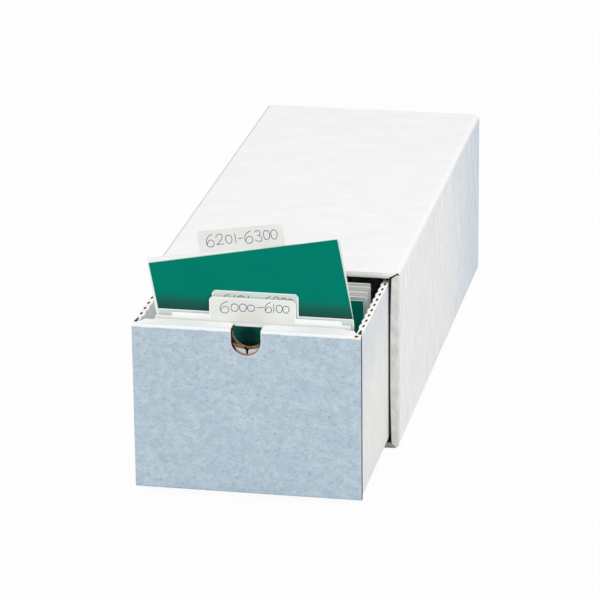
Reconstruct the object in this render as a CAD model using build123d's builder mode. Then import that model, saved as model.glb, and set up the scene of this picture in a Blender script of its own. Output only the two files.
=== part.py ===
"""Index card drawer: a corrugated sleeve, a corrugated drawer that slides in it, tab guides and cards.

Millimetres, +Z up. The origin is the middle of the sleeve's underside. The drawer opens towards -Y.
"""

from build123d import *
import os

# Corrugated board.
board = 4.4
ply_gap = 0.3
flute_pitch = 12.1
fold_radius = 4.4
inner_fold_radius = 0.25

# Sleeve, outside.
sleeve_width = 195.0
sleeve_depth = 440.0
sleeve_height = 148.0
lining = 2.8
hem_depth = 3.2
hem_gap = 0.7
hem_round = 1.5
hem_edge_round = 0.8
mitre_gap = 0.8
back_gap = 1.0
back_flap_reach = 70.0

# Fit of the drawer in the sleeve.
side_play = 1.3
floor_play = 0.3
rim_drop = 4.3
back_play = 3.2

# Drawer, pulled out as in the photograph.
pull_out = 122.0
thumb_width = 23.0
thumb_depth = 21.0
inner_thumb_radius = 12.6
inner_thumb_depth = 18.2
band_thumb_width = 23.2
band_mitre_x = 3.8
band_mitre_y = 7.6
flap_meet_gap = 1.6
flap_dip_half = 16.0
flap_dip_top = 13.6
flap_dip_middle = 16.8
flap_corner = 3.5
rim_fold = 2.2
foot_fold = 1.6
hole_length = 6.0
hole_width = 1.9
hole_depth = 5.0
first_hole = 1.9
hole_end_margin = 6.0

# Tab guides. Rises are above the drawer's rim, insets are from the drawer's inner side walls.
guide_side_room = 16.8
guide_body = 94.5
guide_thick = 0.8
guide_corner = 1.4
tab_share = 0.441
tab_height = 17.5
tab_corner = 3.3
sheet_gap = 0.2
guide_1_rise = 2.6
guide_2_rise = 7.2
guide_1_inset = 10.8
guide_2_inset = 12.6

# Front green card and the white cards behind the first guide.
green_narrower = 3.4
green_height = 90.0
green_thick = 0.5
front_green_rise = 0.0
front_green_inset = 10.0
white_narrower = 21.4
white_height = 92.0
white_thick = 0.3
white_stagger_x = 1.5
white_stagger_z = 0.6
front_white_rise = 5.5
front_white_inset = 23.6

# Raised pair: how far their lower left corners stand below the rim and in from the wall.
raised_green_tilt = 10.5
raised_green_inset = 22.3
raised_green_sunk = 45.3
raised_guide_tilt = 8.5
raised_guide_inset = 18.1
raised_guide_sunk = 46.3

# Rear group, standing on the drawer floor.
rear_below_rim = 0.2
rear_green_back = 43.0
rear_green_inset = 7.8
rear_divider_backs = [34.0, 22.5, 10.5, 2.5]
rear_divider_insets = [7.0, 8.0, 8.0, 9.2]
rear_card_narrower = 9.4
rear_card_lower = 1.4
rear_card_thick = 0.5
rear_card_step = 0.8
rear_card_stagger_x = 0.7
rear_card_stagger_z = 0.5
rear_card_counts = [5, 6, 4]
rear_card_insets = [11.8, 12.6, 13.4]

# Derived positions.
sleeve_front = -sleeve_depth / 2
half_width = sleeve_width / 2
inner_top = sleeve_height - board
inner_half = half_width - board - lining
tray_half = inner_half - side_play
tray_bottom = board + floor_play
tray_floor = tray_bottom + board
rim = inner_top - rim_drop
tray_front = sleeve_front - pull_out
tray_length = sleeve_depth - 2 * board - back_play
tray_back = tray_front + tray_length
wall_front = tray_front + board + ply_gap
wall_back = tray_back - board - ply_gap
wall_inner = tray_half - board
front_inside = tray_front + 3 * board + 2 * ply_gap
thumb_radius = thumb_width / 2
guide_width = 2 * wall_inner - guide_side_room
tab_width = guide_width * tab_share
green_width = guide_width - green_narrower
white_width = guide_width - white_narrower
rear_card_width = guide_width - rear_card_narrower
rear_height = rim - tray_floor - rear_below_rim
rear_card_height = rear_height - rear_card_lower

os.makedirs("parts", exist_ok=True)


def at_depth(y):
    """Upright plane facing the front, at depth y: X right, Z up."""
    return Plane.XZ.offset(-y)


# ---------------------------------------------------------------- sleeve
# Creased sheet wrapped into a four-sided sleeve, open at both ends.
# Its side walls stop short of the front edge, where the lining's hem folds over them.
with BuildPart() as sleeve:
    with BuildSketch(at_depth(sleeve_front)):
        with Locations((0, sleeve_height / 2)):
            RectangleRounded(sleeve_width, sleeve_height, fold_radius)
            RectangleRounded(
                sleeve_width - 2 * board,
                sleeve_height - 2 * board,
                inner_fold_radius,
                mode=Mode.SUBTRACT,
            )
    extrude(amount=-sleeve_depth)
    for side in (-1, 1):
        with BuildSketch(at_depth(sleeve_front)):
            with BuildLine():
                Polyline(
                    (side * (inner_half - 0.5), board - mitre_gap),
                    (side * (half_width + 1), -mitre_gap - 0.5),
                    (side * (half_width + 1), sleeve_height + mitre_gap + 0.5),
                    (side * (inner_half - 0.5), inner_top + mitre_gap),
                    close=True,
                )
            make_face()
        extrude(amount=-hem_depth - ply_gap, mode=Mode.SUBTRACT)
sleeve.part.label = "sleeve"
export_step(sleeve.part, "parts/sleeve.step")

# Inner ply of each side wall, with the hem that rolls round the wall's front edge.
for name, side in (("lining_left", -1), ("lining_right", 1)):
    with BuildPart() as side_lining:
        with BuildSketch(at_depth(sleeve_front)):
            with BuildLine():
                Polyline(
                    (side * inner_half, board + ply_gap),
                    (side * (half_width - hem_round), hem_gap),
                    (side * half_width, hem_gap + hem_round),
                    (side * half_width, sleeve_height - hem_gap - hem_round),
                    (side * (half_width - hem_round), sleeve_height - hem_gap),
                    (side * inner_half, inner_top - ply_gap),
                    close=True,
                )
            make_face()
        extrude(amount=-hem_depth)
        hem_front = side_lining.faces().sort_by(Axis.Y)[0]
        upright = hem_front.edges().filter_by(Axis.Z)
        fillet(upright, radius=hem_edge_round)
        with Locations(
            (side * (inner_half + lining / 2), sleeve_front + hem_depth, inner_top / 2 + board / 2)
        ):
            Box(
                lining,
                sleeve_depth - hem_depth - 2 * board - ply_gap,
                inner_top - board - 2 * ply_gap,
                align=(Align.CENTER, Align.MIN, Align.CENTER),
            )
    side_lining.part.label = name
    export_step(side_lining.part, "parts/" + name + ".step")

# Back closure: two inner side flaps, then a lower and an upper flap outside them.
for name, side in (("back_flap_left", -1), ("back_flap_right", 1)):
    with BuildPart() as dust_flap:
        with Locations(
            (side * (half_width - board - ply_gap), sleeve_depth / 2 - board, sleeve_height / 2)
        ):
            Box(
                back_flap_reach,
                board - ply_gap,
                sleeve_height - 2 * board - 2 * ply_gap,
                align=(Align.MAX if side > 0 else Align.MIN, Align.MAX, Align.CENTER),
            )
        inner_uprights = dust_flap.edges().filter_by(Axis.Y).sort_by(Axis.X)
        meeting = inner_uprights[:2] if side > 0 else inner_uprights[-2:]
        chamfer(meeting, length=fold_radius * 2)
    dust_flap.part.label = name
    export_step(dust_flap.part, "parts/" + name + ".step")

for name, side in (("back_lower", -1), ("back_upper", 1)):
    with BuildPart() as end_flap:
        flap_height = sleeve_height / 2 - board - ply_gap - back_gap / 2
        flap_middle = sleeve_height / 2 + side * (back_gap / 2 + flap_height / 2)
        with Locations((0, sleeve_depth / 2 - board / 2, flap_middle)):
            Box(sleeve_width - 2 * board - 2 * ply_gap, board, flap_height)
        outer_face = end_flap.faces().sort_by(Axis.Y)[-1]
        hinge_row = outer_face.edges().sort_by(Axis.Z)
        fold_edge = hinge_row[-1] if side > 0 else hinge_row[0]
        fillet(fold_edge, radius=foot_fold)
    end_flap.part.label = name
    export_step(end_flap.part, "parts/" + name + ".step")

# ---------------------------------------------------------------- drawer
# Floor and two side walls in one creased sheet. The flutes run up the walls and open at the rim.
with BuildPart() as trough:
    with BuildSketch(at_depth(wall_front)):
        with BuildLine():
            Polyline(
                (-tray_half, rim),
                (-tray_half, tray_bottom),
                (tray_half, tray_bottom),
                (tray_half, rim),
                (wall_inner, rim),
                (wall_inner, tray_floor),
                (-wall_inner, tray_floor),
                (-wall_inner, rim),
                close=True,
            )
        folded = make_face()
        fillet(folded.vertices().group_by(Axis.Y)[0], radius=fold_radius)
    extrude(amount=-(wall_back - wall_front))
    front_face = trough.faces().filter_by(Axis.Y).sort_by(Axis.Y)[0]
    corner_uprights = front_face.edges().filter_by(Axis.Z).sort_by(Axis.X)
    fillet([corner_uprights[0], corner_uprights[-1]], radius=fold_radius - ply_gap)
    hole_rows = []
    hole_y = sleeve_front - first_hole
    while hole_y - flute_pitch > wall_front + hole_end_margin:
        hole_y -= flute_pitch
    while hole_y < wall_back - hole_end_margin:
        hole_rows.append(hole_y)
        hole_y += flute_pitch
    with BuildSketch(Plane.XY.offset(rim)):
        for side in (-1, 1):
            for row in hole_rows:
                with Locations((side * (tray_half - board / 2), row)):
                    Ellipse(hole_width / 2, hole_length / 2)
    extrude(amount=-hole_depth, mode=Mode.SUBTRACT)
trough.part.label = "trough"
export_step(trough.part, "parts/trough.step")

# Outer front panel with its U-shaped thumb notch.
with BuildPart() as front_panel:
    with Locations((0, tray_front + board / 2, (rim + tray_bottom) / 2)):
        Box(2 * tray_half, board, rim - tray_bottom)
    face_edges = front_panel.faces().sort_by(Axis.Y)[0].edges().filter_by(Axis.X).sort_by(Axis.Z)
    fillet(face_edges[-1], radius=rim_fold)
    fillet(front_panel.faces().sort_by(Axis.Y)[0].edges().sort_by(Axis.Z)[0], radius=foot_fold)
    with BuildSketch(at_depth(tray_front)):
        with Locations((0, rim - thumb_depth + thumb_radius)):
            Circle(thumb_radius)
        with Locations((0, rim - thumb_depth + thumb_radius)):
            Rectangle(thumb_width, thumb_depth, align=(Align.CENTER, Align.MIN))
    extrude(amount=-board, mode=Mode.SUBTRACT)
front_panel.part.label = "front_panel"
export_step(front_panel.part, "parts/front_panel.step")

# Corner flaps folded in from the side walls. They meet behind the thumb notch.
for name, side in (("front_flap_left", -1), ("front_flap_right", 1)):
    with BuildPart() as corner_flap:
        with BuildSketch(at_depth(wall_front)):
            with BuildLine():
                Polyline(
                    (side * (wall_inner - ply_gap), tray_floor + ply_gap),
                    (side * (wall_inner - ply_gap), rim - board - ply_gap),
                    (side * (flap_dip_half + 3), rim - board - ply_gap),
                    (side * flap_dip_half, rim - flap_dip_top),
                    (side * flap_meet_gap / 2, rim - flap_dip_middle),
                    (side * flap_meet_gap / 2, tray_floor + ply_gap),
                    close=True,
                )
            flap_face = make_face()
            tip = flap_face.vertices().sort_by_distance((0, rim - flap_dip_middle))[0]
            fillet(tip, radius=flap_corner)
        extrude(amount=-board)
    corner_flap.part.label = name
    export_step(corner_flap.part, "parts/" + name + ".step")

# Roll-over: the flat top band and the inner panel that hangs from it.
with BuildPart() as rollover:
    band_front = tray_front + board + ply_gap
    band_half = wall_inner - ply_gap
    with BuildSketch(Plane.XY.offset(rim)):
        with BuildLine():
            Polyline(
                (-band_half, band_front),
                (band_half, band_front),
                (band_half, front_inside - band_mitre_y),
                (band_half - band_mitre_x, front_inside),
                (-band_half + band_mitre_x, front_inside),
                (-band_half, front_inside - band_mitre_y),
                close=True,
            )
        make_face()
        with Locations((0, band_front)):
            Rectangle(
                band_thumb_width, 4 * board, align=(Align.CENTER, Align.MIN), mode=Mode.SUBTRACT
            )
    extrude(amount=-board)
    with BuildSketch(at_depth(front_inside)):
        with Locations((0, (rim + tray_floor + ply_gap) / 2)):
            Rectangle(2 * (band_half - band_mitre_x), rim - tray_floor - ply_gap)
        with Locations((0, rim - inner_thumb_depth + inner_thumb_radius)):
            Circle(inner_thumb_radius, mode=Mode.SUBTRACT)
        with Locations((0, rim)):
            Rectangle(2 * inner_thumb_radius, 8, mode=Mode.SUBTRACT)
    extrude(amount=board)
    back_top = rollover.edges().filter_by(Axis.X).group_by(Axis.Z)[-1].group_by(Axis.Y)[-1]
    fillet(back_top, radius=rim_fold)
rollover.part.label = "rollover"
export_step(rollover.part, "parts/rollover.step")

# Back wall of the drawer: one panel behind two corner flaps.
with BuildPart() as back_panel:
    with Locations((0, tray_back - board / 2, (rim + tray_bottom) / 2)):
        Box(2 * tray_half, board, rim - tray_bottom)
    fillet(back_panel.faces().sort_by(Axis.Y)[-1].edges().sort_by(Axis.Z)[0], radius=foot_fold)
back_panel.part.label = "back_panel"
export_step(back_panel.part, "parts/back_panel.step")

for name, side in (("tray_flap_left", -1), ("tray_flap_right", 1)):
    with BuildPart() as tray_flap:
        reach = wall_inner - ply_gap - flap_meet_gap / 2
        with Locations(
            (side * (wall_inner - ply_gap - reach / 2), wall_back - board / 2, (rim + tray_floor) / 2)
        ):
            Box(reach, board, rim - tray_floor - 2 * ply_gap)
    tray_flap.part.label = name
    export_step(tray_flap.part, "parts/" + name + ".step")

# ---------------------------------------------------------------- front guides and cards
# Sheets are laid from the front wall backwards, each a small gap behind the one before.
front_green_y = front_inside + sheet_gap
guide_1_y = front_green_y + green_thick + sheet_gap
front_white_y = guide_1_y + guide_thick + sheet_gap
front_white_step = white_thick + sheet_gap / 2
guide_2_y = front_white_y + 2 * front_white_step + sheet_gap
raised_green_y = guide_2_y + guide_thick + sheet_gap
raised_guide_y = raised_green_y + green_thick + sheet_gap

with BuildPart() as front_green:
    with BuildSketch(at_depth(front_green_y)):
        with Locations((front_green_inset - wall_inner, rim + front_green_rise)):
            Rectangle(green_width, green_height, align=(Align.MIN, Align.MAX))
    extrude(amount=-green_thick)
front_green.part.label = "front_green_card"
export_step(front_green.part, "parts/front_green_card.step")

guide_rows = [
    ("guide_1", guide_1_y, guide_1_inset, guide_1_rise - guide_body, 0.0),
    ("guide_2", guide_2_y, guide_2_inset, guide_2_rise - guide_body, 0.0),
    ("raised_guide", raised_guide_y, raised_guide_inset, -raised_guide_sunk, raised_guide_tilt),
]
for name, depth, inset, foot, tilt in guide_rows:
    left = inset - wall_inner
    bottom = rim + foot
    with BuildPart() as guide:
        with BuildSketch(at_depth(depth)):
            with Locations(Location((left, bottom, 0), (0, 0, tilt))):
                RectangleRounded(
                    guide_width, guide_body, guide_corner, align=(Align.MIN, Align.MIN)
                )
            with Locations(Location((left, bottom, 0), (0, 0, tilt))):
                with Locations((guide_width / 2, guide_body + tab_height)):
                    RectangleRounded(
                        tab_width, 2 * tab_height, tab_corner, align=(Align.CENTER, Align.MAX)
                    )
        extrude(amount=-guide_thick)
    guide.part.label = name
    export_step(guide.part, "parts/" + name + ".step")

with BuildPart() as front_white:
    for row in range(2):
        with BuildSketch(at_depth(front_white_y + row * front_white_step)):
            white_left = front_white_inset - wall_inner + white_stagger_x * row
            white_top = rim + front_white_rise - white_stagger_z * row
            with Locations((white_left, white_top)):
                Rectangle(white_width, white_height, align=(Align.MIN, Align.MAX))
        extrude(amount=-white_thick)
front_white.part.label = "front_white_cards"
export_step(front_white.part, "parts/front_white_cards.step")

with BuildPart() as raised_green:
    green_corner = (raised_green_inset - wall_inner, rim - raised_green_sunk, 0)
    with BuildSketch(at_depth(raised_green_y)):
        with Locations(Location(green_corner, (0, 0, raised_green_tilt))):
            Rectangle(green_width, green_height, align=(Align.MIN, Align.MIN))
    extrude(amount=-green_thick)
raised_green.part.label = "raised_green_card"
export_step(raised_green.part, "parts/raised_green_card.step")

# ---------------------------------------------------------------- rear group
# A green card, four plain dividers and the white cards filed between them.
with BuildPart() as rear_green:
    with BuildSketch(at_depth(sleeve_front - rear_green_back)):
        with Locations((wall_inner - rear_green_inset, tray_floor)):
            Rectangle(guide_width, rear_height, align=(Align.MAX, Align.MIN))
    extrude(amount=-guide_thick)
rear_green.part.label = "rear_green_card"
export_step(rear_green.part, "parts/rear_green_card.step")

for number, (back, inset) in enumerate(zip(rear_divider_backs, rear_divider_insets), 1):
    with BuildPart() as divider:
        with BuildSketch(at_depth(sleeve_front - back)):
            with Locations((wall_inner - inset, tray_floor)):
                RectangleRounded(
                    guide_width, rear_height, guide_corner, align=(Align.MAX, Align.MIN)
                )
        extrude(amount=-guide_thick)
    divider.part.label = "rear_divider_" + str(number)
    export_step(divider.part, "parts/rear_divider_" + str(number) + ".step")

card_rows = zip(rear_divider_backs[:3], rear_card_counts, rear_card_insets)
for number, (back, count, inset) in enumerate(card_rows, 1):
    with BuildPart() as rear_cards:
        for row in range(count):
            card_y = sleeve_front - back + guide_thick + sheet_gap + row * rear_card_step
            card_right = wall_inner - inset - rear_card_stagger_x * (row % 3)
            with BuildSketch(at_depth(card_y)):
                with Locations((card_right, tray_floor)):
                    Rectangle(
                        rear_card_width,
                        rear_card_height - rear_card_stagger_z * (row % 2),
                        align=(Align.MAX, Align.MIN),
                    )
            extrude(amount=-rear_card_thick)
    rear_cards.part.label = "rear_cards_" + str(number)
    export_step(rear_cards.part, "parts/rear_cards_" + str(number) + ".step")
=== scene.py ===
import bpy
import math
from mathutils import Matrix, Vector


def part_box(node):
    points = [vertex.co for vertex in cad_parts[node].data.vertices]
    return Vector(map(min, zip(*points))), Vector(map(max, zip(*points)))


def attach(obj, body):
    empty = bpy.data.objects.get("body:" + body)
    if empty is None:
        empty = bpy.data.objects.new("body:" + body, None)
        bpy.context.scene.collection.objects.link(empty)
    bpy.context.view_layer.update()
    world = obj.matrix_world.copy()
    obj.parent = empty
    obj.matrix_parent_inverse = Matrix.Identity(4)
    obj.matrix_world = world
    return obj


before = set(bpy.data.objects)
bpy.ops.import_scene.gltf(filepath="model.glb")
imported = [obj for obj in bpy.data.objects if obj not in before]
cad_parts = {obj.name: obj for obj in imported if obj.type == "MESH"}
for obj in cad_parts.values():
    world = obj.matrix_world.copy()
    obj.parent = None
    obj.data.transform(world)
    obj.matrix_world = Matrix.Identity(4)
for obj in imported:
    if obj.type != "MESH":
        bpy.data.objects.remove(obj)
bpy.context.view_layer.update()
bpy.ops.object.select_all(action="DESELECT")
bpy.context.scene.view_settings.view_transform = "Standard"

# ---------------------------------------------------------------- sleeve
# Outer sleeve: one creased sheet of white-lined corrugated board wrapped round four sides.
# The flutes run up the walls and across the top, and its inside is plain kraft.
sleeve_height = 0.148
sleeve_half_width = 0.0975
sleeve_front = -0.220
board = 0.0044
flute_pitch = 0.0121
margin = 0.0002
wall_shade_from, wall_shade_to = 0.02, 0.26
fold_shade_low, fold_shade_high = 0.140, 0.146
top_ply_low, top_ply_high = sleeve_height - 0.0031, sleeve_height - 0.0022
floor_ply_high, floor_ply_low = board + 0.0004, board - 0.0004


def paint(red, green, blue):
    """A colour given in 0-255 steps, as the linear value a shader takes."""
    steps = [c / 255 for c in (red, green, blue)]
    linear = [c / 12.92 if c <= 0.04045 else ((c + 0.055) / 1.055) ** 2.4 for c in steps]
    return (*linear, 1.0)


def add(tree, kind, sockets=None, **settings):
    """One node: settings are its options, sockets are values or links for its inputs."""
    made = tree.nodes.new("ShaderNode" + kind)
    for option, value in settings.items():
        setattr(made, option, value)
    for key, value in (sockets or {}).items():
        if isinstance(value, bpy.types.NodeSocket):
            tree.links.new(value, made.inputs[key])
        else:
            made.inputs[key].default_value = value
    return made


def sums(tree, operation, first, second=0.0, third=0.0):
    """A Math node's result."""
    return add(tree, "Math", {0: first, 1: second, 2: third}, operation=operation).outputs[0]


def between(tree, value, low, high):
    """0 at low, 1 at high, smooth between. With low above high it falls as the value grows."""
    return add(
        tree, "MapRange", {"Value": value, "From Min": low, "From Max": high},
        interpolation_type="SMOOTHSTEP", clamp=True,
    ).outputs[0]


def facing(tree, normal, low, high):
    """How squarely a face is turned along one axis, whichever way it points."""
    return between(tree, sums(tree, "ABSOLUTE", normal), low, high)


def mix(tree, share, first, second):
    """Two colours mixed by share."""
    made = add(tree, "Mix", {0: share, 6: first, 7: second}, data_type="RGBA")
    return made.outputs[2]


def noise(tree, place, scale, stretch=(1, 1, 1), detail=3.0, rough=0.55):
    """Fractal noise in object space, stretched along an axis for fibres."""
    turned = add(tree, "Mapping", {"Vector": place, "Scale": stretch}).outputs[0]
    return add(
        tree, "TexNoise", {"Vector": turned, "Scale": scale, "Detail": detail, "Roughness": rough}
    ).outputs["Fac"]


def stripes(tree, coordinate, pitch):
    """A sine from 0 to 1 that repeats every pitch along a coordinate."""
    turn = sums(tree, "MULTIPLY", coordinate, 2 * math.pi / pitch)
    return sums(tree, "MULTIPLY_ADD", sums(tree, "SINE", turn), 0.5, 0.5)


def streaks(tree, place):
    """Faint upright streaks in the paper of a side wall, close together along its length."""
    return between(
        tree, noise(tree, place, 1.0, (30, 500, 34), detail=5.0, rough=0.75), 0.36, 0.64
    )


def start_material(name):
    """A new node material with its shader, its object-space point and its normal."""
    material = bpy.data.materials.new(name)
    material.use_nodes = True
    tree = material.node_tree
    shader = tree.nodes["Principled BSDF"]
    place = add(tree, "TexCoord")
    x, y, z = add(tree, "SeparateXYZ", {0: place.outputs["Object"]}).outputs
    nx, ny, nz = add(tree, "SeparateXYZ", {0: place.outputs["Normal"]}).outputs
    return material, tree, shader, place.outputs["Object"], (x, y, z), (nx, ny, nz)


def liner(tree, place, axes, light, dark, clouds, across, lines=0.25):
    """Board liner: clouded paper fibres with the faint shadow of the flutes under it."""
    cloud = between(tree, noise(tree, place, 1.0, clouds, detail=4.0, rough=0.62), 0.34, 0.68)
    fibre = between(tree, noise(tree, place, 900.0, detail=2.0), 0.3, 0.75)
    line = stripes(tree, axes[across], flute_pitch / 2)
    share = sums(tree, "MULTIPLY_ADD", line, lines, sums(tree, "MULTIPLY", fibre, 0.28))
    share = sums(tree, "MULTIPLY_ADD", cloud, 0.62, share)
    return mix(tree, sums(tree, "MINIMUM", share, 1.0), light, dark), cloud, fibre, line


def finish_board(tree, shader, colour, fibre, line, bump=0.3):
    """Matt paper: roughness and a slight bump from the fibres and the flutes."""
    tree.links.new(colour, shader.inputs["Base Color"])
    shader.inputs["Specular IOR Level"].default_value = 0.25
    rough = sums(tree, "MULTIPLY_ADD", fibre, 0.12, 0.76)
    tree.links.new(rough, shader.inputs["Roughness"])
    height = sums(tree, "MULTIPLY_ADD", line, 0.5, sums(tree, "MULTIPLY", fibre, 0.5))
    ripple = add(tree, "Bump", {"Strength": bump, "Distance": 0.0002, "Height": height})
    tree.links.new(ripple.outputs[0], shader.inputs["Normal"])


def dress(node, material):
    """Gives a CAD node its material."""
    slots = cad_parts[node].data.materials
    slots.clear()
    slots.append(material)


def folds(tree, normals):
    """1 on rounded folds, where the normal leans between two axes."""
    steep = [sums(tree, "ABSOLUTE", n) for n in normals]
    most = sums(tree, "MAXIMUM", sums(tree, "MAXIMUM", steep[0], steep[1]), steep[2])
    return between(tree, most, 0.99, 0.85)


kraft_light, kraft_dark = paint(96, 70, 50), paint(70, 50, 36)
sleeve_paper, tree, shader, place, axes, normals = start_material("sleeve_paper")
outside, cloud, fibre, line = liner(
    tree, place, axes, paint(249, 249, 248), paint(242, 243, 244), (30, 60, 60), 1, lines=0.3
)
streak = streaks(tree, place)
near_tone = mix(tree, streak, paint(254, 253, 249), paint(226, 228, 229))
# Painted shade: the side walls turn cooler and darker from the front towards the back.
far_shaded_tone = mix(tree, streak, paint(227, 234, 241), paint(203, 214, 228))
depth = sums(tree, "MULTIPLY_ADD", cloud, 0.06, axes[1])
wall_tone = mix(tree, between(tree, depth, wall_shade_from, wall_shade_to), near_tone, far_shaded_tone)
outside = mix(tree, facing(tree, normals[0], 0.7, 0.95), outside, wall_tone)
worn = sums(tree, "MULTIPLY", folds(tree, normals), 0.6)
# Rounded folds are paler, but the top fold of the left wall carries painted shade as a dark
# blue-grey line.
left_fold_shade = sums(tree, "MULTIPLY", between(tree, normals[0], -0.25, -0.6),
              between(tree, axes[2], fold_shade_low, fold_shade_high))
outside = mix(tree, worn, outside, mix(tree, left_fold_shade, paint(250, 250, 249), paint(138, 143, 158)))
rolled = mix(tree, fibre, paint(226, 231, 222), paint(204, 211, 200))
top_ply = between(tree, axes[2], top_ply_low, top_ply_high)
rolled = mix(tree, top_ply, rolled, paint(250, 251, 249))
floor_ply = between(tree, axes[2], floor_ply_high, floor_ply_low)
floor_cut = mix(tree, fibre, paint(176, 172, 166), paint(128, 124, 120))
rolled = mix(tree, floor_ply, rolled, floor_cut)
edge = facing(tree, normals[1], 0.5, 0.8)
outside = mix(tree, edge, outside, rolled)
far = sums(tree, "ABSOLUTE", axes[0])
wall_in = sums(tree, "LESS_THAN", far, sleeve_half_width - board + margin)
above = sums(tree, "GREATER_THAN", axes[2], board - margin)
below = sums(tree, "LESS_THAN", axes[2], sleeve_height - board + margin)
within = sums(tree, "MULTIPLY", sums(tree, "MULTIPLY", wall_in, above), below)
within = sums(tree, "MULTIPLY", within, sums(tree, "SUBTRACT", 1.0, edge))
kraft = mix(tree, cloud, kraft_light, kraft_dark)
finish_board(tree, shader, mix(tree, within, outside, kraft), fibre, line)
dress("sleeve", sleeve_paper)

# ---------------------------------------------------------------- linings
# Inner ply of each side wall, rolled round the wall's front edge as a flat mitred hem.
# The hem shows the sheet's white liner, and the ply behind it is plain kraft.
lining_inner = 0.0903
hem_depth = 0.0034
mitre_slope = 0.7
mitre_top = sleeve_height - 0.0056
gap_widening = 0.0013


def inside(tree, value, low, high, soft):
    """1 where low < value < high, with soft shoulders."""
    rise = between(tree, value, low - soft, low + soft)
    fall = between(tree, value, high - soft, high + soft)
    return sums(tree, "SUBTRACT", rise, fall)


lining_paper, tree, shader, place, axes, normals = start_material("lining_paper")
face, cloud, fibre, line = liner(
    tree, place, axes, paint(236, 234, 231), paint(202, 200, 200), (120, 160, 90), 1, lines=0.0
)
far = sums(tree, "ABSOLUTE", axes[0])
lip = inside(tree, far, lining_inner - 0.0010, lining_inner + 0.0006, 0.0003)
lip = sums(tree, "MAXIMUM", lip, folds(tree, normals))
face = mix(tree, sums(tree, "MULTIPLY", lip, 0.55), face, paint(244, 243, 236))
along = sums(tree, "MULTIPLY_ADD", far, mitre_slope, mitre_top - lining_inner * mitre_slope)
mitre = between(tree, sums(tree, "SUBTRACT", axes[2], along), -0.0001, 0.0004)
mitre = sums(tree, "MAXIMUM", facing(tree, normals[2], 0.35, 0.55), mitre)
raw = mix(tree, fibre, paint(104, 58, 42), paint(58, 32, 26))
face = mix(tree, mitre, face, raw)
# Painted shade: the hem's inner edge is nearly black where the gap beside the drawer lies, wider
# towards the top and bottom.
lean = sums(tree, "MULTIPLY_ADD", axes[2], 2 / sleeve_height, -1.0)
gap_reach = sums(tree, "MULTIPLY", sums(tree, "MULTIPLY", lean, lean), gap_widening)
gap_shade = sums(tree, "SUBTRACT", far, gap_reach)
gap_shade = between(tree, gap_shade, lining_inner + 0.0004, lining_inner + 0.0001)
face = mix(tree, gap_shade, face, paint(22, 16, 14))
kraft = mix(tree, cloud, kraft_light, kraft_dark)
shaded = between(tree, axes[1], sleeve_front + 0.004, sleeve_front + 0.001)
kraft = mix(tree, shaded, kraft, paint(30, 22, 18))
facing_in = sums(tree, "MULTIPLY", normals[0], sums(tree, "SIGN", axes[0]))
hem = sums(tree, "LESS_THAN", axes[1], sleeve_front + hem_depth)
hem = sums(tree, "MULTIPLY", hem, sums(tree, "GREATER_THAN", facing_in, -0.6))
finish_board(tree, shader, mix(tree, hem, kraft, face), fibre, line)
dress("lining_left", lining_paper)
dress("lining_right", lining_paper)

# ---------------------------------------------------------------- back closure
# Two dust flaps folded in from the walls, then a lower and an upper flap glued over them.
# The outer flaps show the white liner, and their ends show the cut fluting.
sleeve_back = 0.220


def cut_board(tree, across, along, face, core=paint(62, 40, 30)):
    """Cut edge of corrugated board: two thin liners and the wave of the fluting between."""
    depth = sums(tree, "MULTIPLY_ADD", across, 1 / board, -face / board)
    skin = sums(tree, "MAXIMUM", between(tree, depth, 0.84, 0.9), between(tree, depth, 0.16, 0.1))
    middle = sums(tree, "MULTIPLY_ADD", stripes(tree, along, flute_pitch), 0.66, 0.17)
    off = sums(tree, "ABSOLUTE", sums(tree, "SUBTRACT", depth, middle))
    medium = between(tree, off, 0.16, 0.08)
    colour = mix(tree, medium, core, paint(178, 140, 108))
    return mix(tree, skin, colour, paint(214, 190, 164))


flap_paper, tree, shader, place, axes, normals = start_material("flap_paper")
face, _, fibre, line = liner(
    tree, place, axes, paint(246, 246, 245), paint(224, 227, 231), (24, 60, 60), 2
)
ends = cut_board(tree, axes[1], axes[2], sleeve_back - board)
worn = sums(tree, "MULTIPLY", folds(tree, normals), 0.6)
face = mix(tree, worn, face, paint(250, 250, 249))
turned = sums(
    tree, "MAXIMUM", sums(tree, "ABSOLUTE", normals[0]), sums(tree, "ABSOLUTE", normals[2])
)
face = mix(tree, between(tree, turned, 0.8, 0.95), face, ends)
finish_board(tree, shader, face, fibre, line)
for node in ("back_flap_left", "back_flap_right", "back_lower", "back_upper"):
    dress(node, flap_paper)

# ---------------------------------------------------------------- drawer trough
# Floor and both side walls of the drawer: one creased sheet, white on both faces.
# The flutes stand upright in the walls, so they open as a row of brown holes in the rim.
wall_inner = 0.0846
rim = 0.1393
tray_front = -0.342
wall_front = tray_front + board + 0.0003
mouth_depth = 0.0056
upper_shade_from, upper_shade_to = 0.085, 0.128
cool_shade_from, cool_shade_to = -0.355, -0.405
trough_paper, tree, shader, place, axes, normals = start_material("trough_paper")
face, _, fibre, line = liner(
    tree, place, axes, paint(252, 255, 255), paint(243, 249, 249), (45, 60, 18), 1
)
streak = streaks(tree, place)
tone = mix(tree, streak, paint(244, 244, 240), paint(225, 229, 227))
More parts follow.
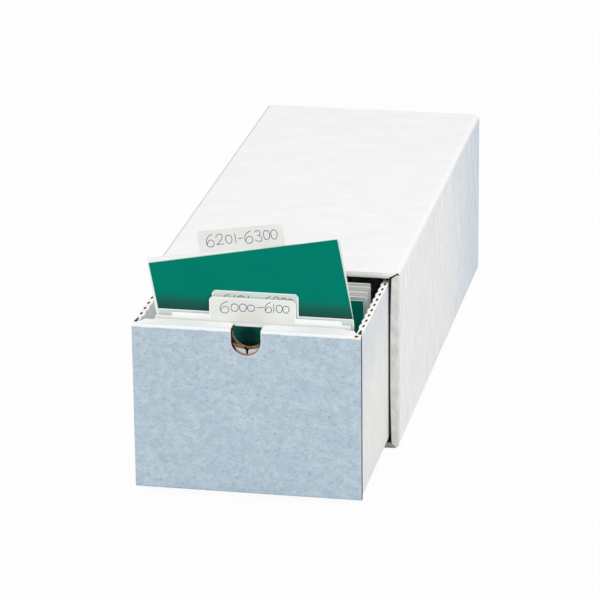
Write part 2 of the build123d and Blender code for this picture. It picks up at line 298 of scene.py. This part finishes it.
# Painted shade: the outer walls turn greyer towards the top, and cooler towards the top front.
upper_shade = mix(tree, streak, paint(230, 234, 236), paint(218, 222, 226))
tone = mix(tree, between(tree, axes[2], upper_shade_from, upper_shade_to), tone, upper_shade)
front_cool_shade = mix(tree, streak, paint(228, 235, 241), paint(212, 220, 230))
cool_shade_line = sums(tree, "MULTIPLY_ADD", axes[2], -0.5, axes[1])
tone = mix(tree, between(tree, cool_shade_line, cool_shade_from, cool_shade_to), tone, front_cool_shade)
outward = sums(tree, "MULTIPLY", normals[0], sums(tree, "SIGN", axes[0]))
face = mix(tree, between(tree, outward, 0.6, 0.9), face, tone)
worn = sums(tree, "MULTIPLY", folds(tree, normals), 0.7)
face = mix(tree, worn, face, paint(247, 248, 249))
# Painted shade: the walls' rounded front edges are bluish grey.
front_fold_shade = sums(tree, "MULTIPLY", between(tree, normals[1], -0.25, -0.6),
               between(tree, axes[1], wall_front + 0.006, wall_front + 0.004))
face = mix(tree, front_fold_shade, face, paint(176, 190, 212))
crown = between(tree, axes[2], rim - 0.0012, rim - 0.0002)
face = mix(tree, crown, face, paint(249, 249, 249))
far = sums(tree, "ABSOLUTE", axes[0])
ends = cut_board(tree, far, axes[2], wall_inner)
face = mix(tree, facing(tree, normals[1], 0.9, 0.99), face, ends)
core = inside(tree, far, wall_inner + board / 4, wall_inner + board * 3 / 4, 0.0001)
under = inside(tree, axes[2], rim - mouth_depth, rim - 0.00012, 0.00006)
flute = mix(tree, fibre, paint(168, 98, 76), paint(128, 70, 54))
face = mix(tree, sums(tree, "MULTIPLY", core, under), face, flute)
# Painted shade: a near-black spot on the rim at each front corner of the walls.
corner = sums(tree, "MULTIPLY", inside(tree, far, wall_inner + 0.0010, wall_inner + 0.0038, 0.0002),
              between(tree, axes[1], wall_front + 0.0046, wall_front + 0.0040))
face = mix(tree, sums(tree, "MULTIPLY", corner, crown), face, paint(24, 16, 14))
finish_board(tree, shader, face, fibre, line)
dress("trough", trough_paper)

# ---------------------------------------------------------------- rim lips
# The inner liner of each wall bulges between the flutes where the die cut it, which leaves
# a scalloped white lip along the rim. One bump is shaped, repeated, and mirrored.
lip_reach = 0.0011
lip_height = 0.0020
bump_depth = 0.0024
bump_centre = wall_inner - lip_reach + bump_depth
first_bump = -0.3187
bump_count = 33


def mirror_twin(name):
    """A mirrored copy of the active piece, for the other side of the drawer."""
    bpy.ops.object.duplicate()
    twin = bpy.context.object
    twin.name = twin.data.name = name
    bpy.ops.object.mode_set(mode="EDIT")
    bpy.ops.mesh.select_all(action="SELECT")
    bpy.ops.transform.resize(value=(-1, 1, 1), center_override=(0, 0, 0))
    bpy.ops.mesh.normals_make_consistent(inside=False)
    bpy.ops.object.mode_set(mode="OBJECT")
    return twin


lip_paper, tree, shader, place, axes, _ = start_material("lip_paper")
face, _, fibre, line = liner(
    tree, place, axes, paint(252, 252, 252), paint(240, 241, 243), (200, 200, 200), 1, lines=0.0
)
finish_board(tree, shader, face, fibre, line, bump=0.15)
bpy.ops.mesh.primitive_cylinder_add(
    vertices=28, radius=flute_pitch / 2, depth=lip_height,
    location=(bump_centre, first_bump, rim - lip_height / 2),
)
lip_right = bpy.context.object
lip_right.name = lip_right.data.name = "rim_lip_right"
bpy.ops.object.transform_apply(location=True, rotation=True, scale=True)
bpy.ops.object.mode_set(mode="EDIT")
bpy.ops.mesh.select_all(action="SELECT")
bpy.ops.transform.resize(
    value=(bump_depth * 2 / flute_pitch, 1, 1), center_override=(bump_centre, first_bump, rim)
)
bpy.ops.mesh.bisect(
    plane_co=(wall_inner, 0, 0), plane_no=(1, 0, 0), clear_outer=True, use_fill=True
)
bpy.ops.mesh.select_all(action="SELECT")
bpy.ops.mesh.bevel(offset=0.0003, segments=2, affect="EDGES", clamp_overlap=True)
bpy.ops.object.mode_set(mode="OBJECT")
row = lip_right.modifiers.new("row", "ARRAY")
row.use_relative_offset = False
row.use_constant_offset = True
row.constant_offset_displace = (0, flute_pitch, 0)
row.count = bump_count
bpy.ops.object.modifier_apply(modifier="row")
bpy.ops.object.shade_smooth_by_angle(angle=math.radians(40))
lip_right.data.materials.append(lip_paper)
lip_left = mirror_twin("rim_lip_left")
for lip in (lip_left, lip_right):
    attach(lip, "drawer")
bpy.ops.object.select_all(action="DESELECT")

# ---------------------------------------------------------------- drawer front
# One panel folded up from the floor, its liner clouded and blue-grey with painted shade, with a
# die-cut thumb notch.
# Its top edge is folded back white, and its ends and the notch show the cut fluting.
notch_radius = 0.0115
notch_depth = 0.0210
notch_centre = rim - notch_depth + notch_radius
fold_low = rim - 0.0036
hole_x, hole_y = 0.0853, tray_front + 0.0010
hole_half_x, hole_half_y = 0.0015, 0.0010
glue_from, glue_to = 0.0869, 0.0872


def length(tree, x, y, z):
    """How long a vector is, from its three parts."""
    joined = add(tree, "CombineXYZ", {0: x, 1: y, 2: z}).outputs[0]
    return add(tree, "VectorMath", {0: joined}, operation="LENGTH").outputs["Value"]


front_shaded_paper, tree, shader, place, axes, normals = start_material("front_shaded_paper")
# Painted shade: the whole front face is darker and bluer than a white liner.
face, _, fibre, line = liner(
    tree, place, axes, paint(199, 216, 225), paint(185, 203, 215), (40, 60, 90), 2, lines=0.05
)
blotch = between(tree, noise(tree, place, 1.0, (200, 200, 270), detail=6.0, rough=0.8), 0.36, 0.66)
face = mix(tree, sums(tree, "MULTIPLY", blotch, 0.8), face, paint(168, 186, 201))
speck = between(tree, noise(tree, place, 430.0, (0.7, 1, 1.3), detail=2.0), 0.58, 0.70)
face = mix(tree, sums(tree, "MULTIPLY", speck, 0.6), face, paint(143, 158, 178))
slip = sums(tree, "MULTIPLY_ADD", noise(tree, place, 70.0, (1, 0, 0)), 0.0018, fold_low)
rolled = between(tree, sums(tree, "SUBTRACT", axes[2], slip), 0.0, 0.0006)
face = mix(tree, rolled, face, paint(243, 245, 246))
drop = sums(tree, "MINIMUM", sums(tree, "SUBTRACT", axes[2], notch_centre), 0.0)
reach = length(tree, axes[0], 0.0, drop)
pressed = inside(tree, reach, notch_radius, notch_radius + 0.0006, 0.0002)
face = mix(tree, sums(tree, "MULTIPLY", pressed, 0.8), face, paint(226, 238, 247))
near = sums(tree, "LESS_THAN", reach, notch_radius + 0.0001)
side = facing(tree, normals[0], 0.6, 0.9)
raw = sums(tree, "MAXIMUM", near, side)
hole_across = sums(tree, "MULTIPLY_ADD", axes[0], 1 / hole_half_x, -hole_x / hole_half_x)
hole_along = sums(tree, "MULTIPLY_ADD", axes[1], 1 / hole_half_y, -hole_y / hole_half_y)
hole = length(tree, hole_across, hole_along, 0.0)
hole = sums(tree, "MULTIPLY", between(tree, hole, 1.1, 0.8), between(tree, normals[2], 0.4, 0.6))
glued = sums(tree, "MULTIPLY", between(tree, normals[2], 0.35, 0.55), between(tree, side, 0.5, 0.2))
glued = sums(tree, "MULTIPLY", between(tree, axes[0], glue_from, glue_to), glued)
# Painted shade: the notch's cut edge is nearly black up its sides and tan only at its foot.
notch_side_shade = mix(tree, fibre, paint(44, 30, 26), paint(26, 18, 16))
notch_foot_tan = mix(tree, fibre, paint(196, 150, 120), paint(150, 104, 82))
foot = between(tree, axes[2], notch_centre - 0.006, notch_centre - 0.0095)
ends = cut_board(tree, axes[1], axes[2], tray_front, core=paint(40, 26, 22))
ends = mix(tree, near, ends, mix(tree, foot, notch_side_shade, notch_foot_tan))
wave = stripes(tree, axes[2], flute_pitch)
ends = mix(tree, side, ends, mix(tree, wave, paint(88, 50, 54), paint(60, 34, 40)))
face = mix(tree, raw, face, ends)
face = mix(tree, glued, face, paint(250, 230, 194))
face = mix(tree, hole, face, paint(112, 50, 44))
finish_board(tree, shader, face, fibre, line, bump=0.35)
dress("front_panel", front_shaded_paper)

# ---------------------------------------------------------------- corner flaps
# Flaps folded in from the side walls at both ends of the drawer, white on both faces.
# Their die-cut edges show tan plies, and the front pair meets behind the notch.
meeting_height = rim - 0.0180
meeting_slope = 0.0032 / 0.0152
crushed_half = 0.0165
gap_half = 0.003
inner_paper, tree, shader, place, axes, normals = start_material("inner_paper")
face, _, fibre, line = liner(
    tree, place, axes, paint(240, 246, 248), paint(206, 213, 217), (110, 90, 110), 2, lines=0.1
)
front_ends = cut_board(tree, axes[1], axes[0], wall_front)
turned = facing(tree, normals[1], 0.9, 0.6)
tan = mix(tree, fibre, paint(205, 172, 138), paint(150, 112, 84))
face = mix(tree, turned, face, mix(tree, 0.45, tan, front_ends))
from_middle = sums(tree, "ABSOLUTE", axes[0])
slope = sums(tree, "MULTIPLY_ADD", from_middle, meeting_slope, meeting_height)
crushed = sums(tree, "MULTIPLY", between(tree, sums(tree, "SUBTRACT", axes[2], slope), 0.0, 0.0004),
               sums(tree, "LESS_THAN", from_middle, crushed_half))
crushed = sums(tree, "MULTIPLY", crushed, between(tree, turned, 0.5, 0.3))
face = mix(tree, crushed, face, paint(110, 58, 44))
# Painted shade: the edges where the front pair of flaps meets are nearly black.
meeting_gap_shade = sums(tree, "MULTIPLY", facing(tree, normals[0], 0.3, 0.7),
               sums(tree, "LESS_THAN", from_middle, gap_half))
face = mix(tree, meeting_gap_shade, face, paint(16, 11, 10))
finish_board(tree, shader, face, fibre, line)
for node in ("front_flap_left", "front_flap_right", "tray_flap_left", "tray_flap_right"):
    dress(node, inner_paper)

# ---------------------------------------------------------------- roll-over
# The front panel's extension: a flat white band over the flaps, then a panel tucked down inside.
# Its notch is cut wider, so its tan plies show inside the front one.
front_inside = -0.3282
arc_clear, arc_full = 0.0150, 0.0146
roll_paper, tree, shader, place, axes, normals = start_material("roll_paper")
face, cloud, fibre, line = liner(
    tree, place, axes, paint(255, 255, 255), paint(250, 251, 252), (40, 90, 90), 0, lines=0.08
)
hidden = between(tree, normals[1], -0.6, -0.9)
face = mix(tree, hidden, face, mix(tree, cloud, paint(60, 42, 32), paint(40, 28, 22)))
arc = between(tree, sums(tree, "ABSOLUTE", axes[0]), arc_clear, arc_full)
arc = sums(tree, "MULTIPLY", arc, facing(tree, normals[1], 0.9, 0.6))
arc = sums(tree, "MULTIPLY", arc, sums(tree, "LESS_THAN", axes[2], rim - 0.0003))
ends = cut_board(tree, axes[1], axes[2], front_inside - board, core=paint(84, 60, 44))
face = mix(tree, arc, face, mix(tree, 0.5, ends, paint(186, 152, 116)))
# The band's side ends show the cut fluting, darkened nearly to black with painted shade.
band_end_shade = cut_board(tree, axes[2], axes[1], rim - board, core=paint(36, 24, 22))
band_end_shade = mix(tree, 0.7, band_end_shade, mix(tree, fibre, paint(52, 34, 30), paint(28, 18, 18)))
level = sums(tree, "GREATER_THAN", axes[2], rim - board + 0.0001)
side = facing(tree, normals[0], 0.5, 0.8)
face = mix(tree, sums(tree, "MULTIPLY", side, level), face, band_end_shade)
finish_board(tree, shader, face, fibre, line)
dress("rollover", roll_paper)

# ---------------------------------------------------------------- rim skin
# The front's outer liner runs unbroken over the rim onto the band, on both sides of the notch.
# It is glued flat to the board, with its back corner trimmed to the band's mitre.
skin_thick = 0.00012
skin_inset = 0.0021
skin_front = tray_front + skin_inset
skin_back = front_inside - skin_inset
skin_inner = 0.0118
skin_outer = 0.0883
skin_middle = (skin_inner + skin_outer) / 2
trim_start = front_inside - 0.0078
bpy.ops.mesh.primitive_cube_add(
    size=1.0, location=(skin_middle, (skin_front + skin_back) / 2, rim + skin_thick / 2)
)
skin_right = bpy.context.object
skin_right.name = skin_right.data.name = "rim_skin_right"
skin_right.scale = (skin_outer - skin_inner, skin_back - skin_front, skin_thick)
bpy.ops.object.transform_apply(location=True, rotation=True, scale=True)
bpy.ops.object.mode_set(mode="EDIT")
bpy.ops.mesh.select_all(action="SELECT")
bpy.ops.mesh.bisect(
    plane_co=(wall_inner, trim_start, rim), plane_no=(2, 1, 0), clear_outer=True, use_fill=True
)
bpy.ops.mesh.select_all(action="SELECT")
bpy.ops.mesh.normals_make_consistent(inside=False)
bpy.ops.mesh.bevel(offset=0.00005, segments=1, affect="EDGES", clamp_overlap=True)
bpy.ops.object.mode_set(mode="OBJECT")
skin_right.data.materials.append(roll_paper)
skin_left = mirror_twin("rim_skin_left")
for skin in (skin_left, skin_right):
    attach(skin, "drawer")
bpy.ops.object.select_all(action="DESELECT")

# ---------------------------------------------------------------- drawer back
# One plain panel folded up from the floor and glued over the rear flaps.
# Its ends show the cut fluting, and its top edge is a clean white cut.
tray_back = 0.086
back_paper, tree, shader, place, axes, normals = start_material("back_paper")
face, _, fibre, line = liner(
    tree, place, axes, paint(243, 244, 245), paint(224, 227, 231), (26, 60, 70), 2, lines=0.15
)
worn = sums(tree, "MULTIPLY", folds(tree, normals), 0.7)
face = mix(tree, worn, face, paint(249, 249, 249))
ends = cut_board(tree, axes[1], axes[2], tray_back - board)
face = mix(tree, facing(tree, normals[0], 0.6, 0.9), face, ends)
finish_board(tree, shader, face, fibre, line)
dress("back_panel", back_paper)

# ---------------------------------------------------------------- tab guides
# Die-cut pressboard guides with one tab each, cream or pale green, matt, with a painted highlight
# round the rim.
# They stand loose in the drawer. Four plain dividers at the back are cut from the same stock.
guide_left = 0.0426
guide_right = 0.1098
guide_width = 0.1524
body_top = 0.0945
tab_rise = 0.0175
highlight_out, highlight_in = 0.0007, 0.0004
raised_tilt = 8.5
raised_corner = (-0.0665, -0.3258, 0.0930)
low_1, high_1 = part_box("guide_1")
low_2, high_2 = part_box("guide_2")


def card_stock(name, light, dark, core, fleck=0.35, gloss=0.1, marks=()):
    """Smooth pressed card: even colour with fine flecks, the marks given to it (painted shade and
    highlight among them), paler on its cut edges.
    """
    material, tree, shader, place, axes, normals = start_material(name)
    soft = between(tree, noise(tree, place, 1.0, (34, 34, 50), detail=4.0), 0.3, 0.7)
    grain = between(tree, noise(tree, place, 1100.0, detail=2.0), 0.35, 0.72)
    share = sums(tree, "MULTIPLY_ADD", grain, fleck, sums(tree, "MULTIPLY", soft, 1 - fleck))
    face = mix(tree, share, light, dark)
    for mark in marks:
        share, shade = mark(tree, place, axes)
        face = mix(tree, share, face, shade)
    cut = facing(tree, normals[1], 0.8, 0.5)
    tree.links.new(mix(tree, cut, face, core), shader.inputs["Base Color"])
    shader.inputs["Specular IOR Level"].default_value = gloss
    rough = sums(tree, "MULTIPLY_ADD", grain, 0.15, 0.62)
    tree.links.new(rough, shader.inputs["Roughness"])
    height = sums(tree, "MULTIPLY_ADD", grain, 0.6, sums(tree, "MULTIPLY", soft, 0.4))
    ripple = add(tree, "Bump", {"Strength": 0.12, "Distance": 0.0001, "Height": height})
    tree.links.new(ripple.outputs[0], shader.inputs["Normal"])
    return material


def on_guide(tree, place, corner, tilt):
    """A point's distances along and up a guide whose lower left corner and tilt are given."""
    turned = {"Vector": place, "Location": corner, "Rotation": (0, -math.radians(tilt), 0)}
    level = add(tree, "Mapping", turned, vector_type="TEXTURE").outputs[0]
    u, _, v = add(tree, "SeparateXYZ", {0: level}).outputs
    return u, v


def rim_highlight(corner, tilt):
    """A painted highlight: a white line round a guide's edges."""

    def line(tree, place, axes):
        u, v = on_guide(tree, place, corner, tilt)
        on_tab = inside(tree, u, guide_left, guide_right, 0.00005)
        top = sums(tree, "MULTIPLY_ADD", on_tab, -tab_rise, sums(tree, "SUBTRACT", v, body_top))
        top = between(tree, top, -0.0007, -0.0003)
        off_left = sums(tree, "ABSOLUTE", sums(tree, "SUBTRACT", u, guide_left + 0.0001))
        off_right = sums(tree, "ABSOLUTE", sums(tree, "SUBTRACT", u, guide_right - 0.0001))
        side = between(tree, sums(tree, "MINIMUM", off_left, off_right), highlight_out, highlight_in)
        side = sums(tree, "MULTIPLY", side, sums(tree, "GREATER_THAN", v, body_top - 0.0005))
        ends = sums(tree, "MAXIMUM", between(tree, u, highlight_out, highlight_in),
                    between(tree, u, guide_width - highlight_out, guide_width - highlight_in))
        return sums(tree, "MAXIMUM", sums(tree, "MAXIMUM", top, side), ends), paint(255, 255, 255)

    return line


def whiter_body(corner, tilt):
    """The body of a guide below its tab, painted whiter, and less so towards its right end."""

    def body(tree, place, axes):
        u, v = on_guide(tree, place, corner, tilt)
        right = between(tree, u, guide_width - 0.012, guide_width - 0.006)
        plain = sums(tree, "MULTIPLY_ADD", right, -0.7, 0.85)
        below = between(tree, v, body_top - 0.0001, body_top - 0.0009)
        return sums(tree, "MULTIPLY", below, plain), paint(252, 252, 251)

    return body


def shaded_foot(top, bottom, shade, most=0.85):
    """The part of a card below a level, which is always in the shade of its neighbours."""

    def foot(tree, place, axes):
        return sums(tree, "MULTIPLY", between(tree, axes[2], top, bottom), most), shade

    return foot


cream = paint(238, 240, 234), paint(228, 231, 225), paint(253, 254, 251)
pale_green = paint(214, 227, 221), paint(203, 217, 211), paint(250, 253, 251)
divider_cream = paint(232, 234, 228), paint(220, 223, 217), paint(255, 255, 255)
dress("guide_1", card_stock(
    "front_guide_card", *cream,
    marks=(rim_highlight((low_1.x, low_1.y, high_1.z - tab_rise - body_top), 0.0),
           shaded_foot(rim + 0.0014, rim + 0.0006, paint(206, 206, 196), 0.4)),
))
dress("guide_2", card_stock(
    "second_guide_card", *pale_green,
    marks=(rim_highlight((low_2.x, low_2.y, high_2.z - tab_rise - body_top), 0.0),),
))
dress("raised_guide", card_stock(
    "raised_guide_card", *cream, marks=(whiter_body(raised_corner, raised_tilt),),
))
divider_card = card_stock("divider_card", *divider_cream)
for node in ("rear_divider_2", "rear_divider_3", "rear_divider_4"):
    dress(node, divider_card)
dress("rear_divider_1", card_stock("pale_divider_card", *pale_green))

# ---------------------------------------------------------------- number marks
# A range of plain numbers is written on each tab by hand, in thin violet-grey ink.
# Each stroke is a fine round line pressed flat onto the card.
ink_radius = 0.00029
ink_proud = 0.00006
ink, tree, shader, place, _, _ = start_material("violet_ink")
fade = between(tree, noise(tree, place, 700.0, detail=2.0), 0.3, 0.75)
violet = mix(tree, fade, paint(74, 68, 114), paint(116, 110, 150))
tree.links.new(violet, shader.inputs["Base Color"])
tree.links.new(sums(tree, "MULTIPLY_ADD", fade, 0.2, 0.45), shader.inputs["Roughness"])
strokes = {
    "0": [(0.62, 1.0), (0.1, 1.02), (-0.04, 0.4), (0.2, -0.02),
          (0.8, 0.0), (1.06, 0.55), (0.85, 1.02), (0.36, 0.96)],
    "1": [(0.52, 1.0), (0.5, 0.5), (0.44, 0.0)],
    "2": [(0.02, 0.72), (0.2, 1.08), (0.95, 1.05), (0.85, 0.55),
          (0.3, 0.2), (-0.05, -0.02), (0.45, 0.06), (1.0, 0.02)],
    "3": [(0.05, 0.9), (0.5, 1.12), (1.0, 0.9), (0.72, 0.54), (0.3, 0.52),
          (0.95, 0.56), (1.08, 0.0), (0.4, -0.08), (0.0, 0.14)],
    "6": [(0.9, 1.04), (0.3, 0.92), (-0.08, 0.4), (0.1, -0.06), (0.85, -0.1),
          (1.08, 0.38), (0.6, 0.62), (0.12, 0.36), (0.1, 0.16)],
    "-": [(0.0, 0.44), (0.5, 0.5), (1.0, 0.52)],
}


def write_number(name, body, row, corner, tilt):
    """Handwritten number: row holds (figure, left, foot, width, height) in mm on the tab."""
    line = bpy.data.curves.new(name, "CURVE")
    line.dimensions = "3D"
    line.bevel_depth = ink_radius
    line.bevel_resolution = 2
    line.resolution_u = 8
    for figure, left, foot, width, height in row:
        path = line.splines.new("NURBS")
        points = strokes[figure]
        path.points.add(len(points) - 1)
        for point, (u, v) in zip(path.points, points):
            point.co = ((left + u * width) / 1000, 0, (foot + v * height) / 1000, 1)
        path.order_u = 3
        path.use_endpoint_u = True
    number = bpy.data.objects.new(name, line)
    bpy.context.scene.collection.objects.link(number)
    bpy.context.view_layer.objects.active = number
    number.select_set(True)
    bpy.ops.object.convert(target="MESH")
    bpy.ops.object.mode_set(mode="EDIT")
    bpy.ops.mesh.select_all(action="SELECT")
    bpy.ops.transform.resize(value=(1, ink_proud / ink_radius, 1), center_override=(0, 0, 0))
    bpy.ops.object.mode_set(mode="OBJECT")
    number.location = corner
    number.rotation_euler = (0, -math.radians(tilt), 0)
    bpy.ops.object.transform_apply(location=True, rotation=True, scale=True)
    number.data.materials.append(ink)
    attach(number, body)
    number.select_set(False)


write_number(
    "marks_front", "front_guide",
    [("6", 8.6, 5.4, 6.6, 8.4), ("0", 17.0, 6.5, 5.6, 6.1), ("0", 23.6, 6.8, 5.4, 6.1),
     ("0", 29.8, 7.3, 5.6, 5.1), ("-", 37.2, 8.4, 5.3, 4.8), ("6", 43.6, 7.4, 4.9, 7.6),
     ("1", 49.4, 7.4, 1.8, 6.5), ("0", 52.2, 7.6, 4.8, 5.8), ("0", 57.3, 7.5, 4.8, 5.5)],
    (low_1.x + guide_left, low_1.y, high_1.z - tab_rise), 0.0,
)
write_number(
    "marks_middle", "second_guide",
    [("6", 8.4, 6.2, 6.0, 7.0), ("1", 16.4, 6.4, 1.8, 6.8), ("0", 20.0, 6.2, 5.4, 6.6),
     ("1", 27.6, 6.4, 1.8, 6.8), ("-", 33.0, 7.0, 5.0, 5.6), ("6", 41.0, 6.0, 5.2, 7.2),
     ("2", 47.6, 6.2, 4.8, 6.8), ("0", 53.6, 6.2, 4.6, 6.6), ("0", 58.8, 6.0, 4.4, 6.4)],
    (low_2.x + guide_left, low_2.y, high_2.z - tab_rise + 0.0013), 0.0,
)
lean = math.radians(raised_tilt)
raised_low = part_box("raised_guide")[0]
write_number(
    "marks_raised", "raised_tab_guide",
    [("6", 6.4, 4.6, 5.8, 8.8), ("2", 14.0, 5.2, 5.8, 7.8), ("0", 21.6, 5.6, 5.0, 6.4),
     ("1", 28.4, 5.2, 1.8, 7.8), ("-", 31.4, 5.6, 3.8, 6.4), ("6", 36.6, 4.8, 6.0, 8.6),
     ("3", 44.4, 5.2, 5.2, 8.0), ("0", 51.4, 5.8, 4.8, 7.2), ("0", 57.2, 5.6, 4.8, 7.4)],
    (raised_corner[0] + guide_left * math.cos(lean) - body_top * math.sin(lean), raised_low.y,
     raised_corner[2] + guide_left * math.sin(lean) + body_top * math.cos(lean)), raised_tilt,
)

# ---------------------------------------------------------------- green cards
# Dyed green card, smooth and matt. The raised one has painted shade near its foot, duller and then
# nearly black.
# The front one has a dark patch of painted shade behind the notch and painted shade low down, and
# is pale along its top.
notch_shade_drop = 0.0095
notch_shade_out, notch_shade_in = 0.0135, 0.0035
pale_low, pale_high = rim - 0.0026, rim - 0.0020
foot_shade_from, foot_shade_to = 0.1625, 0.1480
lowest_shade_from, lowest_shade_to = 0.1474, 0.1464
front_shade_from, front_shade_to = 0.1275, 0.1225


def notch_shade(tree, place, axes):
    """Painted shade: a dark patch on the card behind the notch."""
    high = sums(tree, "ADD", axes[2], notch_shade_drop - rim)
    spot = length(tree, sums(tree, "ADD", axes[0], 0.0005), 0.0, high)
    return sums(tree, "MULTIPLY", between(tree, spot, notch_shade_out, notch_shade_in), 0.92), paint(10, 44, 42)


def pale_top(tree, place, axes):
    """The undyed strip along the top edge."""
    return between(tree, axes[2], pale_low, pale_high), paint(255, 255, 255)


dyed = {"fleck": 0.5, "gloss": 0.02}
# Painted shade on the raised card: duller towards its foot and nearly black lowest down.
dress("raised_green_card", card_stock(
    "green_card", paint(0, 129, 109), paint(0, 122, 103), paint(120, 176, 158), **dyed,
    marks=(shaded_foot(foot_shade_from, foot_shade_to, paint(34, 82, 74), 0.95),
           shaded_foot(lowest_shade_from, lowest_shade_to, paint(14, 30, 30))),
))
# Painted shade on the front card: a dark patch behind the notch and near black low down.
dress("front_green_card", card_stock(
    "front_green_card", paint(18, 112, 94), paint(8, 96, 80), paint(250, 252, 250), **dyed,
    marks=(notch_shade, shaded_foot(front_shade_from, front_shade_to, paint(4, 12, 12)), pale_top),
))
dress("rear_green_card", card_stock(
    "rear_green_card", paint(0, 116, 96), paint(0, 104, 86), paint(226, 238, 230), **dyed,
))

# ---------------------------------------------------------------- index cards
# Plain white index cards, cut from thin bright stock with a bluish cast beside the cream guides.
# They stand loose in small packs behind the guides, a little staggered.
white = card_stock("white_card", paint(255, 255, 255), paint(249, 249, 253), paint(255, 255, 255))
for node in ("front_white_cards", "rear_cards_1", "rear_cards_2", "rear_cards_3"):
    dress(node, white)

# ---------------------------------------------------------------- stage
# Plain pale floor under soft lamps, and the camera at the photograph's angle.
# The floor and the sky look brighter to the lens than the light that they give.
floor_width = 30.0
floor_glow = 0.95
sky_given, sky_extra = 0.72, 0.28


def looked_at(tree):
    """1 for rays that the lens sees, straight or by reflection, and 0 for the rest."""
    path = add(tree, "LightPath").outputs
    through = sums(tree, "MAXIMUM", path["Is Glossy Ray"], path["Is Transmission Ray"])
    return sums(tree, "MAXIMUM", path["Is Camera Ray"], through)


bpy.ops.mesh.primitive_plane_add(size=floor_width, location=(0, 0, 0))
floor = bpy.context.object
floor.name = "floor"
floor_paint = bpy.data.materials.new("floor_paint")
floor_paint.use_nodes = True
tree = floor_paint.node_tree
tree.nodes.clear()
matt = add(tree, "BsdfDiffuse", {"Color": (0.8, 0.8, 0.8, 1)})
glow = add(tree, "Emission", {"Color": (1, 1, 1, 1), "Strength": 1.0})
share = sums(tree, "MULTIPLY", looked_at(tree), floor_glow)
mixed = add(tree, "MixShader", {0: share, 1: matt.outputs[0], 2: glow.outputs[0]})
add(tree, "OutputMaterial", {"Surface": mixed.outputs[0]})
floor.data.materials.append(floor_paint)

world = bpy.data.worlds.new("studio")
bpy.context.scene.world = world
world.use_nodes = True
tree = world.node_tree
tree.nodes.clear()
strength = sums(tree, "MULTIPLY_ADD", looked_at(tree), sky_extra, sky_given)
sky = add(tree, "Background", {"Color": (1, 1, 1, 1), "Strength": strength})
add(tree, "OutputWorld", {"Surface": sky.outputs[0]})

for name, place, aim, power, width in (
    ("lamp_top", (0.2, -0.3, 1.9), (0, -0.1, 0.1), 7.5, 1.4),
    ("lamp_side", (2.0, -0.6, 0.8), (0, -0.1, 0.08), 6.0, 1.2),
    ("lamp_front", (0.1, -2.4, 0.9), (0, -0.2, 0.08), 10.0, 1.4),
):
    lamp = bpy.data.lights.new(name, "AREA")
    lamp.energy = power
    lamp.size = width
    holder = bpy.data.objects.new(name, lamp)
    holder.location = place
    holder.rotation_euler = (Vector(aim) - Vector(place)).to_track_quat("-Z", "Y").to_euler()
    bpy.context.scene.collection.objects.link(holder)

lens = bpy.data.cameras.new("camera")
lens.sensor_width = 36.0
lens.lens = 210.0
lens.clip_end = 100.0
camera = bpy.data.objects.new("camera", lens)
camera.location = (0.52562, -2.77903, 1.05652)
camera.rotation_euler = [math.radians(a) for a in (70.2793, 0.5512, 11.018)]
bpy.context.scene.collection.objects.link(camera)
bpy.context.scene.camera = camera
